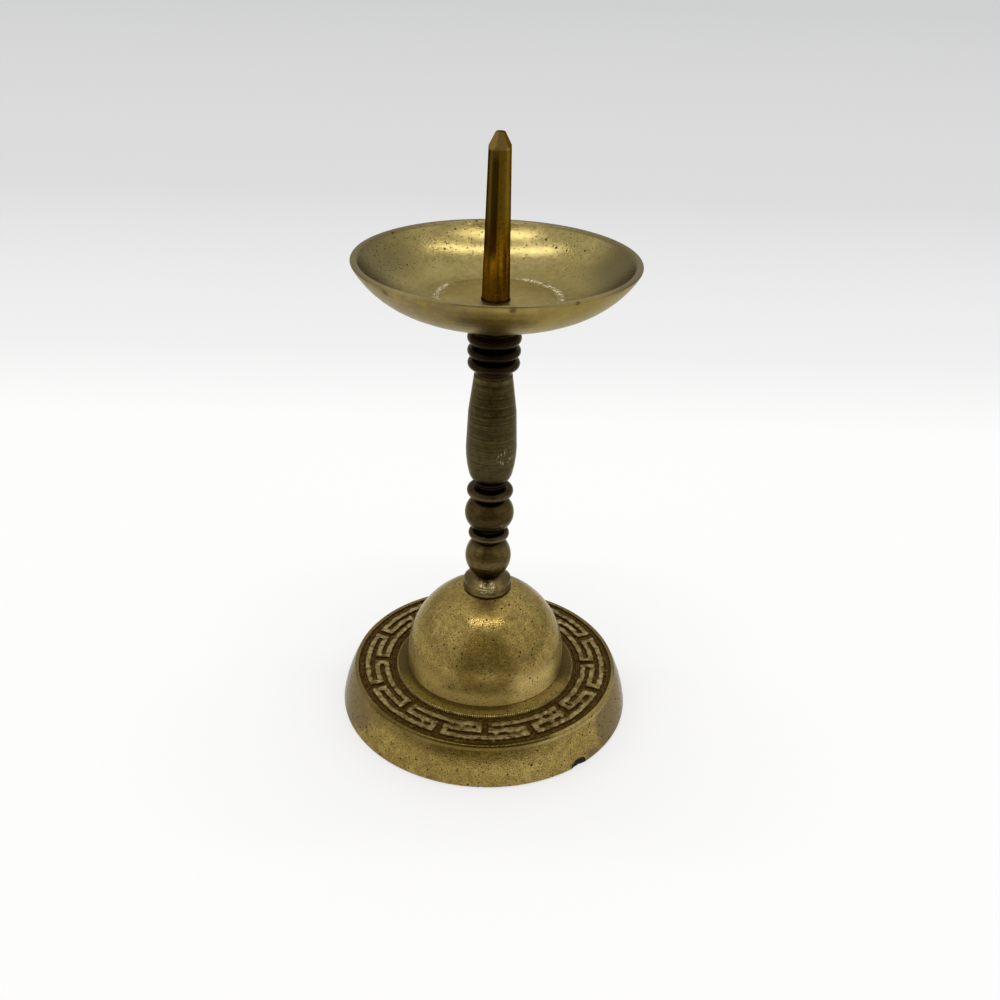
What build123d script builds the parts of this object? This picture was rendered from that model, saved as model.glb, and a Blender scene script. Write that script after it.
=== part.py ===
"""Pricket candle stand: domed brass base with a running fret, turned stem, drip pan and spike.

Millimetres. The origin is the centre of the base's underside, +Z is up the axis of the stand,
and the photographed front is -Y.
"""

import os
from math import asin, degrees, sqrt

from build123d import *

# Base casting: skirt and lip
FOOT_RADIUS = 37.5
FOOT_ROUND = 0.5
FOOT_EDGE = 0.3
FOOT_LAND = 3.0
SKIRT_RUN = 3.2
SKIRT_BULGE = 0.42
LIP_HEIGHT = 10.45
LIP_WIDTH = 0.9
BASE_WALL = 3.0

# Base casting: sunk band, shoulder and dome
BAND_DEPTH = 0.65
BORDER_HEIGHT = 0.5
SHOULDER_RISE = 0.8
SHOULDER_ROUND = 0.6
LEDGE_WIDTH = 2.3
COVE_RADIUS = 0.3
DOME_WALL = 3.53
DOME_RADIUS = 20.3
SEAT_THICKNESS = 4.4
BOSS_MARGIN = 1.0

# Running fret: one raised line that winds through pairs of blocks
FRET_PAIRS = 8
FRET_OUTER_MARGIN = 1.7
FRET_INNER_MARGIN = 1.85
FRET_LINE = 1.4
FRET_GAP = 1.6
FRET_RISE = 0.55
FRONT_ANGLE = -89

# Stem: foot collar
COLLAR_RADIUS = 6.1
COLLAR_BAND = 1.1
COLLAR_STEP = 0.15
COLLAR_EDGE = 1.75
COLLAR_SLOPE = 1.75
SEAT_INSET = 0.7

# Stem: two balls with a ring between them, and the ring under the vase
LOWER_NECK = 3.5
GROOVE_WIDTH = 0.55
LOWER_BALL_RADIUS = 5.77
LOWER_BALL_HEIGHT = 9.8
LOWER_RING_RADIUS = 5.08
LOWER_RING_HEIGHT = 2.15
UPPER_BALL_RADIUS = 6.08
UPPER_BALL_HEIGHT = 8.55
UPPER_RING_RADIUS = 5.7
UPPER_RING_HEIGHT = 2.65
VASE_NECK = 3.9
VASE_NECK_HEIGHT = 1.6

# Stem: vase
VASE_FOOT_RADIUS = 4.1
VASE_HIP_RADIUS = 5.34
VASE_HIP_HEIGHT = 2.3
VASE_RADIUS = 6.13
VASE_SWELL = 9.0
VASE_RISE = 18.6
VASE_TOP_RADIUS = 4.53

# Stem: three rings under the pan
RING_NECK = 4.3
RING_COLLAR = 1.65
RING_GROOVE = 0.6
RING_RADII = (6.11, 6.22, 6.3)
RING_HEIGHTS = (2.45, 2.4, 2.8)

# Drip pan
PAN_RADIUS = 32.65
PAN_DEPTH = 11.85
PAN_FLAT_RADIUS = 12.0
PAN_WALL_RUN = 8.65
PAN_BEND_HEIGHT = 3.1
PAN_FLOOR = 2.5
PAN_WALL = 1.7
PAN_BOSS_RADIUS = 3.9
PAN_BOSS_HEIGHT = 5.25
PAN_BOSS_FILLET = 3.0

# Pricket
PRICKET_FOOT_RADIUS = 3.15
PRICKET_TOP_RADIUS = 2.48
PRICKET_LENGTH = 33.0
PRICKET_POINT = 3.5
PRICKET_TIP_RADIUS = 0.9
PRICKET_SEAT_DEPTH = 0.4
PRICKET_SEAT_CLEARANCE = 0.15

# Threads, washer and nut, with threads drawn as plain cylinders
TAIL_RADIUS = 2.5
TAIL_ENGAGEMENT = 8.5
TAIL_RELIEF = 1.0
SPIGOT_RADIUS = 3.0
SPIGOT_OVERHANG = 1.5
THREAD_CLEARANCE = 0.05
HOLE_CLEARANCE = 0.25
WASHER_RADIUS = 6.0
WASHER_THICKNESS = 1.6
NUT_ACROSS_FLATS = 10.0
NUT_HEIGHT = 5.0
NUT_CHAMFER = 0.45

# Radii and levels that the pieces share
lip_radius = FOOT_RADIUS - SKIRT_RUN
lip_inner = lip_radius - LIP_WIDTH
shoulder_radius = DOME_RADIUS + COVE_RADIUS + LEDGE_WIDTH
border_radius = shoulder_radius + SHOULDER_ROUND
band_level = LIP_HEIGHT - BAND_DEPTH
ledge_level = band_level + SHOULDER_RISE
dome_centre = ledge_level + COVE_RADIUS + DOME_WALL
seat_radius = COLLAR_RADIUS - SEAT_INSET
seat_level = dome_centre + sqrt(DOME_RADIUS**2 - seat_radius**2)
boss_level = seat_level - SEAT_THICKNESS
nut_top = boss_level - WASHER_THICKNESS
nut_bottom = nut_top - NUT_HEIGHT
spigot_end = nut_bottom - SPIGOT_OVERHANG
collar_top = seat_level + COLLAR_BAND + COLLAR_EDGE + COLLAR_SLOPE
lower_ring_level = collar_top + LOWER_BALL_HEIGHT + GROOVE_WIDTH
upper_ball_level = lower_ring_level + LOWER_RING_HEIGHT + GROOVE_WIDTH
upper_ring_level = upper_ball_level + UPPER_BALL_HEIGHT + GROOVE_WIDTH
vase_level = upper_ring_level + UPPER_RING_HEIGHT + VASE_NECK_HEIGHT
vase_top = vase_level + VASE_SWELL + VASE_RISE
rings_level = vase_top + RING_COLLAR
stem_top = rings_level + sum(RING_HEIGHTS) + RING_GROOVE * (len(RING_HEIGHTS) - 1)
pan_under = stem_top + PAN_BOSS_HEIGHT
pan_floor = pan_under + PAN_FLOOR
pan_rim = pan_under + PAN_DEPTH
pricket_seat = pan_floor - PRICKET_SEAT_DEPTH
pan_bend_radius = PAN_RADIUS - PAN_WALL_RUN


def fret_sector(inner, outer, start, end):
    """Adds one stroke of the fret: the part of a ring between two radii and two angles."""
    with BuildLine() as outline:
        far = CenterArc((0, 0), outer, start, end - start)
        near = CenterArc((0, 0), inner, start, end - start)
        Line(far @ 0, near @ 0)
        Line(far @ 1, near @ 1)
    make_face(outline.edges())


def ring_profile(neck, level, radius, height):
    """Draws a half-round ring that stands out of a neck, and returns the height of its top."""
    edge = radius - height / 2
    Line((neck, level), (edge, level))
    ThreePointArc((edge, level), (radius, level + height / 2), (edge, level + height))
    Line((edge, level + height), (neck, level + height))
    return level + height


# Fret: a pair of blocks, the second the first turned over, that repeats around the band
half_line = FRET_LINE / 2
fret_outer = lip_inner - FRET_OUTER_MARGIN - half_line
fret_inner = border_radius + FRET_INNER_MARGIN + half_line
fret_middle = (fret_outer + fret_inner) / 2
block_angle = 180 / FRET_PAIRS
gap_angle = degrees(FRET_GAP / fret_middle)
bar_angle = degrees(FRET_LINE / fret_middle)

with BuildSketch() as fret_pair:
    for block, (entry, way_out) in enumerate(((fret_outer, fret_inner), (fret_inner, fret_outer))):
        left = FRONT_ANGLE + block * block_angle + gap_angle / 2
        right = left + block_angle - gap_angle
        link = left - gap_angle
        turn_low, turn_high = sorted((entry, fret_middle))
        return_low, return_high = sorted((way_out, fret_middle))
        fret_sector(entry - half_line, entry + half_line, link, right)
        fret_sector(turn_low - half_line, turn_high + half_line, right - bar_angle, right)
        fret_sector(fret_middle - half_line, fret_middle + half_line, left, right)
        fret_sector(return_low - half_line, return_high + half_line, left, left + bar_angle)
        fret_sector(way_out - half_line, way_out + half_line, left, right)

# Base: a hollow casting with the fret standing on its sunk band
inner_dome = DOME_RADIUS - BASE_WALL
boss_radius = WASHER_RADIUS + BOSS_MARGIN
boss_shoulder = dome_centre + sqrt(inner_dome**2 - boss_radius**2)

with BuildPart() as base:
    with BuildSketch(Plane.XZ):
        with BuildLine():
            underside = Line((0, 0), (FOOT_RADIUS - FOOT_ROUND, 0))
            foot = TangentArc(underside @ 1, (FOOT_RADIUS, FOOT_ROUND), tangent=(1, 0))
            edge = Line(foot @ 1, (FOOT_RADIUS, FOOT_ROUND + FOOT_EDGE))
            skirt = SagittaArc(edge @ 1, (lip_radius, LIP_HEIGHT), -SKIRT_BULGE)
            band = Polyline(
                skirt @ 1,
                (lip_inner, LIP_HEIGHT),
                (lip_inner, band_level),
                (border_radius, band_level),
                (border_radius, band_level + BORDER_HEIGHT),
            )
            shoulder = TangentArc((shoulder_radius, ledge_level), band @ 1, tangent=(1, 0))
            ledge = Line(shoulder @ 0, (DOME_RADIUS + COVE_RADIUS, ledge_level))
            cove = TangentArc(
                ledge @ 1, (DOME_RADIUS, ledge_level + COVE_RADIUS), tangent=(-1, 0)
            )
            Line(cove @ 1, (DOME_RADIUS, dome_centre))
            dome = CenterArc(
                (0, dome_centre),
                DOME_RADIUS,
                0,
                degrees(asin((seat_level - dome_centre) / DOME_RADIUS)),
            )
            Polyline(dome @ 1, (0, seat_level), (0, 0))
        make_face()
    revolve(axis=Axis.Z)

    with BuildSketch(Plane.XZ):
        with BuildLine():
            Polyline(
                (0, 0),
                (FOOT_RADIUS - FOOT_LAND, 0),
                (lip_radius - BASE_WALL, band_level - BASE_WALL),
                (inner_dome, band_level - BASE_WALL),
                (inner_dome, dome_centre),
            )
            vault = CenterArc(
                (0, dome_centre),
                inner_dome,
                0,
                degrees(asin((boss_shoulder - dome_centre) / inner_dome)),
            )
            Polyline(vault @ 1, (boss_radius, boss_level), (0, boss_level), (0, 0))
        make_face()
    revolve(axis=Axis.Z, mode=Mode.SUBTRACT)

    with BuildSketch(Plane.XY.offset(band_level)):
        with PolarLocations(0, FRET_PAIRS):
            add(fret_pair.sketch)
    extrude(amount=FRET_RISE)

    with Locations((0, 0, seat_level)):
        Hole(SPIGOT_RADIUS + HOLE_CLEARANCE, depth=SEAT_THICKNESS)

# Washer under the dome
with BuildPart() as base_washer:
    with BuildSketch(Plane.XY.offset(nut_top)):
        Circle(WASHER_RADIUS)
        Circle(SPIGOT_RADIUS + HOLE_CLEARANCE, mode=Mode.SUBTRACT)
    extrude(amount=WASHER_THICKNESS)

# Nut on the stem's spigot, its corners turned off to a cone on both faces
nut_corner = NUT_ACROSS_FLATS / sqrt(3)

with BuildPart() as base_nut:
    with BuildSketch(Plane.XY.offset(nut_bottom)):
        RegularPolygon(NUT_ACROSS_FLATS / 2, 6, major_radius=False)
    extrude(amount=NUT_HEIGHT)
    with BuildSketch(Plane.XZ):
        with BuildLine():
            Polyline(
                (0, nut_bottom),
                (NUT_ACROSS_FLATS / 2, nut_bottom),
                (nut_corner, nut_bottom + NUT_CHAMFER),
                (nut_corner, nut_top - NUT_CHAMFER),
                (NUT_ACROSS_FLATS / 2, nut_top),
                (0, nut_top),
                close=True,
            )
        make_face()
    revolve(axis=Axis.Z, mode=Mode.INTERSECT)
    with Locations((0, 0, nut_top)):
        Hole(SPIGOT_RADIUS + THREAD_CLEARANCE, depth=NUT_HEIGHT)

# Stem: turned in one piece, with a spigot at its foot and a tapped hole in its top
with BuildPart() as stem:
    with BuildSketch(Plane.XZ):
        with BuildLine():
            collar = Polyline(
                (0, spigot_end),
                (SPIGOT_RADIUS, spigot_end),
                (SPIGOT_RADIUS, seat_level),
                (COLLAR_RADIUS, seat_level),
                (COLLAR_RADIUS, seat_level + COLLAR_BAND),
                (COLLAR_RADIUS - COLLAR_STEP, seat_level + COLLAR_BAND),
                (COLLAR_RADIUS - COLLAR_STEP, collar_top - COLLAR_SLOPE),
                (LOWER_NECK, collar_top),
            )
            ball_top = collar_top + LOWER_BALL_HEIGHT
            ThreePointArc(
                collar @ 1,
                (LOWER_BALL_RADIUS, collar_top + LOWER_BALL_HEIGHT / 2),
                (LOWER_NECK, ball_top),
            )
            Line((LOWER_NECK, ball_top), (LOWER_NECK, lower_ring_level))
            ring_top = ring_profile(
                LOWER_NECK, lower_ring_level, LOWER_RING_RADIUS, LOWER_RING_HEIGHT
            )
            Line((LOWER_NECK, ring_top), (LOWER_NECK, upper_ball_level))
            ball_top = upper_ball_level + UPPER_BALL_HEIGHT
            ThreePointArc(
                (LOWER_NECK, upper_ball_level),
                (UPPER_BALL_RADIUS, upper_ball_level + UPPER_BALL_HEIGHT / 2),
                (LOWER_NECK, ball_top),
            )
            Line((LOWER_NECK, ball_top), (VASE_NECK, upper_ring_level))
            ring_top = ring_profile(
                VASE_NECK, upper_ring_level, UPPER_RING_RADIUS, UPPER_RING_HEIGHT
            )
            Polyline((VASE_NECK, ring_top), (VASE_NECK, vase_level), (VASE_FOOT_RADIUS, vase_level))
            hip = TangentArc(
                (VASE_RADIUS, vase_level + VASE_SWELL),
                (VASE_HIP_RADIUS, vase_level + VASE_HIP_HEIGHT),
                tangent=(0, -1),
            )
            TangentArc(hip @ 1, (VASE_FOOT_RADIUS, vase_level), tangent=hip % 1)
            TangentArc(hip @ 0, (VASE_TOP_RADIUS, vase_top), tangent=(0, 1))
            Polyline((VASE_TOP_RADIUS, vase_top), (RING_NECK, vase_top), (RING_NECK, rings_level))
            level = rings_level
            for radius, height in zip(RING_RADII, RING_HEIGHTS):
                ring_top = ring_profile(RING_NECK, level, radius, height)
                level = ring_top + RING_GROOVE
                if ring_top < stem_top - RING_GROOVE / 2:
                    Line((RING_NECK, ring_top), (RING_NECK, level))
            Polyline((RING_NECK, stem_top), (0, stem_top), (0, spigot_end))
        make_face()
    revolve(axis=Axis.Z)
    with Locations((0, 0, stem_top)):
        Hole(TAIL_RADIUS + THREAD_CLEARANCE, depth=TAIL_ENGAGEMENT + TAIL_RELIEF)

# Drip pan: a shallow bowl with a flat floor, standing on a short boss and spot-faced for the spike
with BuildPart() as drip_pan:
    with BuildSketch(Plane.XZ):
        with BuildLine():
            boss = Polyline((0, stem_top), (PAN_BOSS_RADIUS, stem_top), (PAN_BOSS_RADIUS, pan_under))
            under = Line(boss @ 1, (PAN_FLAT_RADIUS, pan_under))
            under_bend = TangentArc(
                under @ 1, (pan_bend_radius, pan_under + PAN_BEND_HEIGHT), tangent=(1, 0)
            )
            outer_wall = TangentArc(under_bend @ 1, (PAN_RADIUS, pan_rim), tangent=under_bend % 1)
            bend_normal = Vector(-(under_bend % 1).Y, (under_bend % 1).X)
            inner_bend = under_bend @ 1 + bend_normal * (PAN_FLOOR + PAN_WALL) / 2
            floor_line = Line((0, pan_floor), (PAN_FLAT_RADIUS, pan_floor))
            floor_bend = TangentArc(floor_line @ 1, inner_bend, tangent=(1, 0))
            inner_wall = TangentArc(
                floor_bend @ 1, (PAN_RADIUS - PAN_WALL, pan_rim), tangent=floor_bend % 1
            )
            Line(inner_wall @ 1, outer_wall @ 1)
            Line(floor_line @ 0, boss @ 0)
        make_face()
    revolve(axis=Axis.Z)
    boss_root = drip_pan.edges().filter_by(GeomType.CIRCLE).filter_by_position(
        Axis.Z, pan_under, pan_under
    )
    fillet(boss_root.sort_by(SortBy.RADIUS)[0], min(PAN_BOSS_FILLET, PAN_BOSS_HEIGHT / 2))
    with Locations((0, 0, pan_floor)):
        CounterBoreHole(
            TAIL_RADIUS + THREAD_CLEARANCE,
            PRICKET_FOOT_RADIUS + PRICKET_SEAT_CLEARANCE,
            PRICKET_SEAT_DEPTH,
            depth=pan_floor - stem_top,
        )

# Pricket: a tapered round spike with a filed point and a threaded tail
with BuildPart() as pricket:
    with BuildSketch(Plane.XZ):
        with BuildLine():
            Polyline(
                (0, stem_top - TAIL_ENGAGEMENT),
                (TAIL_RADIUS, stem_top - TAIL_ENGAGEMENT),
                (TAIL_RADIUS, pricket_seat),
                (PRICKET_FOOT_RADIUS, pricket_seat),
                (PRICKET_FOOT_RADIUS, pan_floor),
                (PRICKET_TOP_RADIUS, pan_floor + PRICKET_LENGTH),
                (PRICKET_TIP_RADIUS, pan_floor + PRICKET_LENGTH + PRICKET_POINT),
                (0, pan_floor + PRICKET_LENGTH + PRICKET_POINT),
                close=True,
            )
        make_face()
    revolve(axis=Axis.Z)

os.makedirs("parts", exist_ok=True)

base.part.label = "base"
export_step(base.part, "parts/base.step")
base_washer.part.label = "base_washer"
export_step(base_washer.part, "parts/base_washer.step")
base_nut.part.label = "base_nut"
export_step(base_nut.part, "parts/base_nut.step")
stem.part.label = "stem"
export_step(stem.part, "parts/stem.step")
drip_pan.part.label = "drip_pan"
export_step(drip_pan.part, "parts/drip_pan.step")
pricket.part.label = "pricket"
export_step(pricket.part, "parts/pricket.step")
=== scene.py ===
import math

import bmesh
import bpy
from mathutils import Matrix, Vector


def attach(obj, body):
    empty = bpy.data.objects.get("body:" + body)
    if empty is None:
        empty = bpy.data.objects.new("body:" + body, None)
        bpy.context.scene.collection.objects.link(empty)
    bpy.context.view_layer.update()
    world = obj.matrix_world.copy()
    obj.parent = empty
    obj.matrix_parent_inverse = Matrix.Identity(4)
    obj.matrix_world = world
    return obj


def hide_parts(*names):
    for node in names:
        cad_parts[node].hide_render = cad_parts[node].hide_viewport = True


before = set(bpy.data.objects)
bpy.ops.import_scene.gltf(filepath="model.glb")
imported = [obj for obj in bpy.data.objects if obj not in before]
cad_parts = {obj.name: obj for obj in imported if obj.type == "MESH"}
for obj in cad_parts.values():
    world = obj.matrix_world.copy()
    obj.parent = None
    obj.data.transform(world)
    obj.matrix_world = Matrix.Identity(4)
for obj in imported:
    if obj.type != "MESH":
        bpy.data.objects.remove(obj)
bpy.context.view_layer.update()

# Base: one brass casting, turned true on the outside and hollow underneath. A bowed skirt rises to
# a narrow lip, a sunk band runs inside the lip, and a dome stands on the shoulder in the middle.
# The spigot of the stem passes through the hole in its crown.
MM = 0.001
FOOT_RADIUS = 37.5
FOOT_ROUND = 0.5
FOOT_TOP = 0.8
FOOT_INNER = 34.5
LIP_RADIUS = 34.3
LIP_HEIGHT = 10.45
SKIRT_BULGE = 0.42
BAND_OUTER = 33.4
BAND_LEVEL = 9.8
BAND_INNER = 23.5
BORDER_TOP = 10.3
SHOULDER_RADIUS = 22.9
LEDGE_LEVEL = 10.6
COVE_EDGE = 20.6
COVE_TOP = 10.9
DOME_RADIUS = 20.3
DOME_CENTRE = 14.43
CROWN_RADIUS = 5.4
SEAT_LEVEL = 34.0
SPIGOT_HOLE = 3.25
BOSS_RADIUS = 7.0
BOSS_LEVEL = 29.6
VAULT_RADIUS = 17.3
BAND_UNDERSIDE = 6.8
SKIRT_INNER = 31.3
FOOT_EDGE = 0.22
LIP_EDGE = 0.28
BORDER_EDGE = 0.18
CAST_CORNER = 0.8
BASE_RUN = 1.3
BASE_STEPS = 192
ARC_STEP = math.radians(6)
SMOOTH_ANGLE = math.radians(40)
SAME_PLACE = 1e-6
TOUCHING = 0.01
pen = {"at": Vector((0, 0, 0))}


def begin_outline(name, radius, height):
    """Starts a turned piece: a plane drawn together to the first point of its half section."""
    bpy.ops.object.select_all(action="DESELECT")
    bpy.ops.mesh.primitive_plane_add(size=MM, location=(radius * MM, 0, height * MM))
    piece = bpy.context.object
    piece.name = name
    piece.data.name = name
    bpy.ops.object.transform_apply(location=True)
    bpy.ops.object.mode_set(mode="EDIT")
    bpy.ops.mesh.merge(type="CENTER")
    pen["at"] = Vector((radius, 0, height))
    return piece


def line_to(*points):
    """Extrudes the end of the outline in straight runs to each (radius, height)."""
    for radius, height in points:
        target = Vector((radius, 0, height))
        bpy.ops.mesh.extrude_region_move(
            TRANSFORM_OT_translate={"value": (target - pen["at"]) * MM}
        )
        pen["at"] = target


def arc_to(radius, height, heading):
    """Spins the end of the outline to a point, on the arc that leaves along the heading.

    Returns the heading at the arc's end, for a curve that goes on smoothly."""
    target = Vector((radius, 0, height))
    chord = target - pen["at"]
    heading = Vector((heading[0], 0, heading[1])).normalized()
    side = Vector((-heading.z, 0, heading.x))
    reach = chord.length_squared / (2 * side.dot(chord))
    centre = pen["at"] + side * reach
    start = pen["at"] - centre
    end = target - centre
    turn = math.atan2(end.z, end.x) - math.atan2(start.z, start.x)
    if reach > 0 and turn < 0:
        turn += 2 * math.pi
    if reach < 0 and turn > 0:
        turn -= 2 * math.pi
    bpy.ops.mesh.spin(
        steps=max(2, math.ceil(abs(turn) / ARC_STEP)),
        angle=turn,
        center=centre * MM,
        axis=(0, 1, 0),
    )
    pen["at"] = target
    leaving = Vector((-end.z, 0, end.x)) * (1 if reach > 0 else -1)
    return leaving.x, leaving.z


def heading_out(start, end, arriving):
    """The heading on which an arc leaves its start so that it reaches its end along a heading."""
    chord = Vector(end) - Vector(start)
    along = Vector(arriving).normalized()
    return 2 * chord * chord.dot(along) / chord.length_squared - along


def arc_into(radius, height, arriving):
    """Spins the end of the outline to a point, on the arc that arrives along a heading."""
    start = (pen["at"].x, pen["at"].z)
    arc_to(radius, height, heading_out(start, (radius, height), arriving))


def bow_to(radius, height, swell):
    """Spins the end of the outline to a point, on an arc that swells out from the straight run."""
    chord = Vector((radius - pen["at"].x, height - pen["at"].z))
    outward = Vector((chord.y, -chord.x))
    lean = 2 * math.atan(2 * swell / chord.length)
    arc_to(radius, height, chord * math.cos(lean) + outward * math.sin(lean))


def select_points(is_chosen):
    """Selects the points of the mesh in edit mode whose place in millimetres passes the test."""
    mesh = bmesh.from_edit_mesh(bpy.context.object.data)
    bpy.ops.mesh.select_all(action="DESELECT")
    for vertex in mesh.verts:
        vertex.select = is_chosen(vertex.co / MM)
    mesh.select_flush(True)
    bmesh.update_edit_mesh(bpy.context.object.data)


def round_corners(size, *corners):
    """Rounds the outline at these corners, as tool and wear round the edges of the metal."""
    places = [Vector((radius, 0, height)) for radius, height in corners]
    select_points(lambda at: any((at - place).length < TOUCHING for place in places))
    bpy.ops.mesh.bevel(offset=size * MM, segments=3, affect="VERTICES")


def divide_runs(longest):
    """Halves the long runs of the outline until none is longer than this, for an even mesh."""
    while True:
        bpy.ops.mesh.select_all(action="DESELECT")
        outline = bmesh.from_edit_mesh(bpy.context.object.data)
        long_runs = [edge for edge in outline.edges if edge.calc_length() > longest * MM]
        if not long_runs:
            break
        for edge in long_runs:
            edge.select_set(True)
        bmesh.update_edit_mesh(bpy.context.object.data)
        bpy.ops.mesh.subdivide(number_cuts=1)


def turn_outline(steps):
    """Turns the outline about the axis into a closed piece with its faces outwards."""
    bpy.ops.mesh.select_all(action="SELECT")
    bpy.ops.mesh.remove_doubles(threshold=SAME_PLACE)
    bpy.ops.mesh.spin(steps=steps, angle=2 * math.pi, center=(0, 0, 0), axis=(0, 0, 1))
    bpy.ops.mesh.select_all(action="SELECT")
    bpy.ops.mesh.remove_doubles(threshold=SAME_PLACE)
    bpy.ops.mesh.normals_make_consistent(inside=False)
    bpy.ops.object.mode_set(mode="OBJECT")
    bpy.ops.object.shade_smooth_by_angle(angle=SMOOTH_ANGLE)


base = begin_outline("base_casting", FOOT_RADIUS - FOOT_ROUND, 0)
arc_to(FOOT_RADIUS, FOOT_ROUND, (1, 0))
line_to((FOOT_RADIUS, FOOT_TOP))
bow_to(LIP_RADIUS, LIP_HEIGHT, SKIRT_BULGE)
line_to(
    (BAND_OUTER, LIP_HEIGHT),
    (BAND_OUTER, BAND_LEVEL),
    (BAND_INNER, BAND_LEVEL),
    (BAND_INNER, BORDER_TOP),
)
arc_into(SHOULDER_RADIUS, LEDGE_LEVEL, (-1, 0))
line_to((COVE_EDGE, LEDGE_LEVEL))
arc_to(DOME_RADIUS, COVE_TOP, (-1, 0))
line_to((DOME_RADIUS, DOME_CENTRE))
arc_to(CROWN_RADIUS, SEAT_LEVEL, (0, 1))
vault_shoulder = DOME_CENTRE + math.sqrt(VAULT_RADIUS**2 - BOSS_RADIUS**2)
line_to(
    (SPIGOT_HOLE, SEAT_LEVEL),
    (SPIGOT_HOLE, BOSS_LEVEL),
    (BOSS_RADIUS, BOSS_LEVEL),
    (BOSS_RADIUS, vault_shoulder),
)
arc_into(VAULT_RADIUS, DOME_CENTRE, (0, -1))
line_to(
    (VAULT_RADIUS, BAND_UNDERSIDE),
    (SKIRT_INNER, BAND_UNDERSIDE),
    (FOOT_INNER, 0),
    (FOOT_RADIUS - FOOT_ROUND, 0),
)
bpy.ops.mesh.select_all(action="SELECT")
bpy.ops.mesh.remove_doubles(threshold=SAME_PLACE)
round_corners(FOOT_EDGE, (FOOT_RADIUS, FOOT_TOP), (FOOT_INNER, 0))
round_corners(LIP_EDGE, (LIP_RADIUS, LIP_HEIGHT), (BAND_OUTER, LIP_HEIGHT))
round_corners(BORDER_EDGE, (BAND_INNER, BORDER_TOP), (BOSS_RADIUS, BOSS_LEVEL))
round_corners(CAST_CORNER, (VAULT_RADIUS, BAND_UNDERSIDE), (SKIRT_INNER, BAND_UNDERSIDE))
divide_runs(BASE_RUN)
turn_outline(BASE_STEPS)

# Chips knocked out of the foot's edge: one broad, right of the front, and one small at the front.
# The broken metal inside them is rough, and painted near black as painted shade in the hollows.
CHIPS = (
    (-50.0, 37.65, 0.9, (0.85, 2.6, 1.75)),
    (-90.5, 37.5, 0.1, (0.5, 0.9, 0.55)),
)
CHIP_RAGGED = (0.7, 0.45)
chip_cutters = []


def push_uneven(piece, name, size, strength):
    """Pushes the surface of a piece in and out, in patches of this size and by this much."""
    clouds = bpy.data.textures.new(name, "CLOUDS")
    clouds.noise_scale = size * MM
    push = piece.modifiers.new(name, "DISPLACE")
    push.texture = clouds
    push.texture_coords = "LOCAL"
    push.strength = strength * MM
    bpy.ops.object.modifier_apply(modifier=push.name)


def add_lump(size, radius, angle, level, stretch):
    """Adds a stretched ball to the mesh in edit mode, at an angle in degrees around the axis."""
    place = (radius * MM, 0, level * MM)
    bpy.ops.mesh.select_all(action="DESELECT")
    bpy.ops.mesh.primitive_ico_sphere_add(subdivisions=3, radius=size * MM, location=place)
    bpy.ops.transform.resize(value=stretch, center_override=place)
    bpy.ops.transform.rotate(value=-math.radians(angle), orient_axis="Z", center_override=(0, 0, 0))


for chip_angle, chip_radius, chip_height, chip_size in CHIPS:
    cutter = begin_outline("chip", 0, 0)
    bpy.ops.mesh.delete(type="VERT")
    add_lump(1.0, chip_radius, chip_angle, chip_height, chip_size)
    bpy.ops.mesh.subdivide(number_cuts=1)
    bpy.ops.object.mode_set(mode="OBJECT")
    push_uneven(cutter, "chip_ragged", *CHIP_RAGGED)
    chip_cutters.append(cutter)


EDGE_TINT = (0.78, 0.75, 0.66, 1)
SPECULAR_LEVEL = 0.1
bench = {"finish": None}


def connect(node, inputs):
    """Feeds the sockets of a node with values or with other sockets."""
    for socket, value in inputs.items():
        if isinstance(value, bpy.types.NodeSocket):
            bench["finish"].node_tree.links.new(value, node.inputs[socket])
        else:
            node.inputs[socket].default_value = value


def feed(kind, inputs=None, **options):
    """Adds a node to the finish on the bench, with its options and what feeds its sockets."""
    node = bench["finish"].node_tree.nodes.new(kind)
    for name, value in options.items():
        setattr(node, name, value)
    connect(node, inputs or {})
    return node


def new_finish(name):
    """Puts a new finish on the bench, and returns it with its places in millimetres."""
    finish = bpy.data.materials.new(name)
    finish.use_nodes = True
    bench["finish"] = finish
    places = feed("ShaderNodeTexCoord").outputs["Object"]
    in_mm = feed("ShaderNodeVectorMath", {0: places, "Scale": 1 / MM}, operation="SCALE")
    return finish, in_mm.outputs["Vector"]


def grain(at, size, detail=3.0, roughness=0.55):
    """Cloudy variation whose patches are about this many millimetres across."""
    texture = feed(
        "ShaderNodeTexNoise",
        {"Vector": at, "Scale": 1 / size, "Detail": detail, "Roughness": roughness},
    )
    return texture.outputs["Fac"]


def stretched_grain(at, scale, detail=3.0, roughness=0.6):
    """Cloudy variation drawn out into lines, with its own scale along each axis."""
    drawn = feed("ShaderNodeMapping", {"Vector": at, "Scale": scale})
    return grain(drawn.outputs["Vector"], 1.0, detail, roughness)


def between(value, low, high, start=0.0, end=1.0):
    """Turns the stretch from low to high into a soft step from start to end."""
    step = feed(
        "ShaderNodeMapRange",
        {"Value": value, "From Min": low, "From Max": high, "To Min": start, "To Max": end},
        interpolation_type="SMOOTHSTEP",
    )
    return step.outputs["Result"]


def sum_of(operation, first, second=0.0):
    """One arithmetic step between two values."""
    return feed("ShaderNodeMath", {0: first, 1: second}, operation=operation).outputs[0]


def all_of(*amounts):
    """The amounts multiplied together: a mask that is full only where each of them is."""
    result = amounts[0]
    for amount in amounts[1:]:
        result = sum_of("MULTIPLY", result, amount)
    return result


def any_of(*amounts):
    """The largest of the amounts at each place."""
    result = amounts[0]
    for amount in amounts[1:]:
        result = sum_of("MAXIMUM", result, amount)
    return result


def tint(amount, under, over):
    """Lays one colour over another by this amount."""
    mixed = feed("ShaderNodeMix", {0: amount, 6: under, 7: over}, data_type="RGBA")
    return mixed.outputs[2]


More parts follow.
